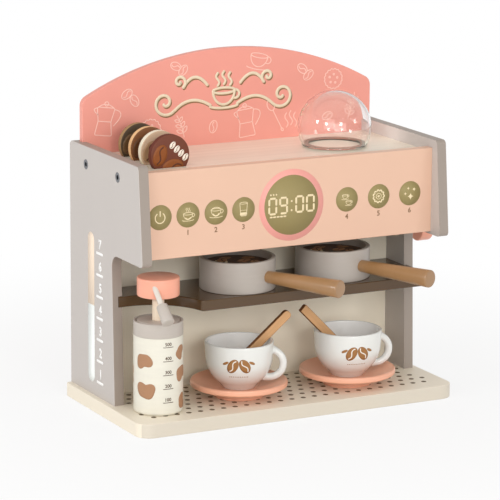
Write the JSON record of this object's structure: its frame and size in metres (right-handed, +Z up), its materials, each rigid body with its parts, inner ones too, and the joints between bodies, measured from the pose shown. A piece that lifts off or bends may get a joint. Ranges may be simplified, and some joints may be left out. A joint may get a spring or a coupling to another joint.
{
  "type": "toy coffee maker",
  "caption": "Painted board play espresso machine with a shelf, two filters, two cups on saucers with stirrers, a pump bottle, coffee pods, a clear dome and a side knob.",
  "frame": {"origin": "middle of the base board's underside", "axes": "+X to the machine's right as its user faces it, +Y to the back, +Z up"},
  "size_m": [0.316, 0.1923, 0.296],
  "materials": {
    "grey_paint": "satin grey paint on fibreboard",
    "cream_paint": "satin cream paint on fibreboard",
    "coral_paint": "satin coral pink paint on fibreboard",
    "peach_paint": "satin peach paint on fibreboard with printed dials",
    "brown_paint": "matt coffee brown paint on board",
    "warm_grey_turned": "satin warm grey paint on turned wood",
    "tan_turned": "satin tan paint on turned wood",
    "coffee_print": "printed coffee grounds on a thin board disc",
    "saucer_pink": "satin pink paint on turned wood",
    "cup_white": "gloss white moulded plastic",
    "stirrer_wood": "bare pale wood, dark at its cut edges",
    "milk_white": "satin milk white paint on turned wood",
    "spout_wood": "bare pale dowel",
    "steel": "bright zinc plated steel",
    "pod_dark": "printed dark chocolate face, brown painted disc",
    "pod_cream": "cream painted disc",
    "pod_tan": "golden tan painted disc",
    "pod_olive": "dark olive brown painted disc",
    "clear_plastic": "clear moulded plastic",
    "coral_turned": "satin coral paint on turned wood"
  },
  "bodies": {
    "machine": {"base_tray": "cream_paint", "left_side_panel": "grey_paint", "right_side_panel": "grey_paint", "back_panel": "cream_paint", "top_board": "cream_paint", "front_fascia": "peach_paint", "header_board": "coral_paint", "filter_shelf": "brown_paint", "side_screws": "steel", "base_screws": "steel"},
    "left_filter": {"left_filter_cup": "warm_grey_turned", "left_filter_grip": "tan_turned", "left_coffee_puck": "coffee_print"},
    "right_filter": {"right_filter_cup": "warm_grey_turned", "right_filter_grip": "tan_turned", "right_coffee_puck": "coffee_print"},
    "left_saucer": {"left_saucer": "saucer_pink"},
    "right_saucer": {"right_saucer": "saucer_pink"},
    "left_cup": {"left_cup": "cup_white"},
    "right_cup": {"right_cup": "cup_white"},
    "left_stirrer": {"left_stirrer": "stirrer_wood"},
    "right_stirrer": {"right_stirrer": "stirrer_wood"},
    "bottle": {"bottle_body": "milk_white", "bottle_lid": "warm_grey_turned", "pump_spring": "steel"},
    "pump": {"pump_stem": "spout_wood", "pump_knob": "coral_turned", "spout_peg": "spout_wood", "spout_nozzle": "warm_grey_turned"},
    "dome": {"bean_dome": "clear_plastic"},
    "steam_valve": {"steam_knob": "coral_turned", "steam_shaft": "spout_wood", "steam_collar": "spout_wood"},
    "pod_1": {"coffee_pod_1": "pod_dark"},
    "pod_2": {"coffee_pod_2": "pod_cream"},
    "pod_3": {"coffee_pod_3": "pod_tan"},
    "pod_4": {"coffee_pod_4": "pod_olive"}
  },
  "joints": [
    {"name": "left_filter_pull", "type": "slide", "parent": "machine", "child": "left_filter", "axis": [0, -1, 0], "range_m": [0, 0.075]},
    {"name": "right_filter_pull", "type": "slide", "parent": "machine", "child": "right_filter", "axis": [0, -1, 0], "range_m": [0, 0.075]},
    {"name": "left_saucer_pull", "type": "slide", "parent": "machine", "child": "left_saucer", "axis": [0, -1, 0], "range_m": [0, 0.095]},
    {"name": "right_saucer_pull", "type": "slide", "parent": "machine", "child": "right_saucer", "axis": [0, -1, 0], "range_m": [0, 0.095]},
    {"name": "left_cup_lift", "type": "slide", "parent": "left_saucer", "child": "left_cup", "axis": [0, -0.9563, 0.2924], "range_m": [0, 0.1]},
    {"name": "right_cup_lift", "type": "slide", "parent": "right_saucer", "child": "right_cup", "axis": [0, -0.9563, 0.2924], "range_m": [0, 0.1]},
    {"name": "left_stirrer_draw", "type": "slide", "parent": "left_cup", "child": "left_stirrer", "axis": [0.7365, -0.0918, 0.6702], "range_m": [0, 0.015]},
    {"name": "right_stirrer_draw", "type": "slide", "parent": "right_cup", "child": "right_stirrer", "axis": [-0.7066, -0.0226, 0.7073], "range_m": [0, 0.016]},
    {"name": "bottle_pull", "type": "slide", "parent": "machine", "child": "bottle", "axis": [0, -1, 0], "range_m": [0, 0.065]},
    {"name": "pump_press", "type": "slide", "parent": "bottle", "child": "pump", "axis": [0, 0, -1], "range_m": [0, 0.012], "stiffness_N_per_m": 250, "springref_m": -0.006, "deforming": ["pump_spring"]},
    {"name": "dome_lift", "type": "slide", "parent": "machine", "child": "dome", "axis": [0, 0, 1], "range_m": [0, 0.06]},
    {"name": "steam_turn", "type": "hinge", "parent": "machine", "child": "steam_valve", "pos_m": [0.16, 0.0033, 0.1351], "axis": [1, 0, 0], "continuous": true},
    {"name": "pod_1_lift", "type": "slide", "parent": "machine", "child": "pod_1", "axis": [0, 0, 1], "range_m": [0, 0.05]},
    {"name": "pod_2_lift", "type": "slide", "parent": "machine", "child": "pod_2", "axis": [0, 0, 1], "range_m": [0, 0.05]},
    {"name": "pod_3_lift", "type": "slide", "parent": "machine", "child": "pod_3", "axis": [0, 0, 1], "range_m": [0, 0.05]},
    {"name": "pod_4_lift", "type": "slide", "parent": "machine", "child": "pod_4", "axis": [0, 0, 1], "range_m": [0, 0.05]}
  ]
}
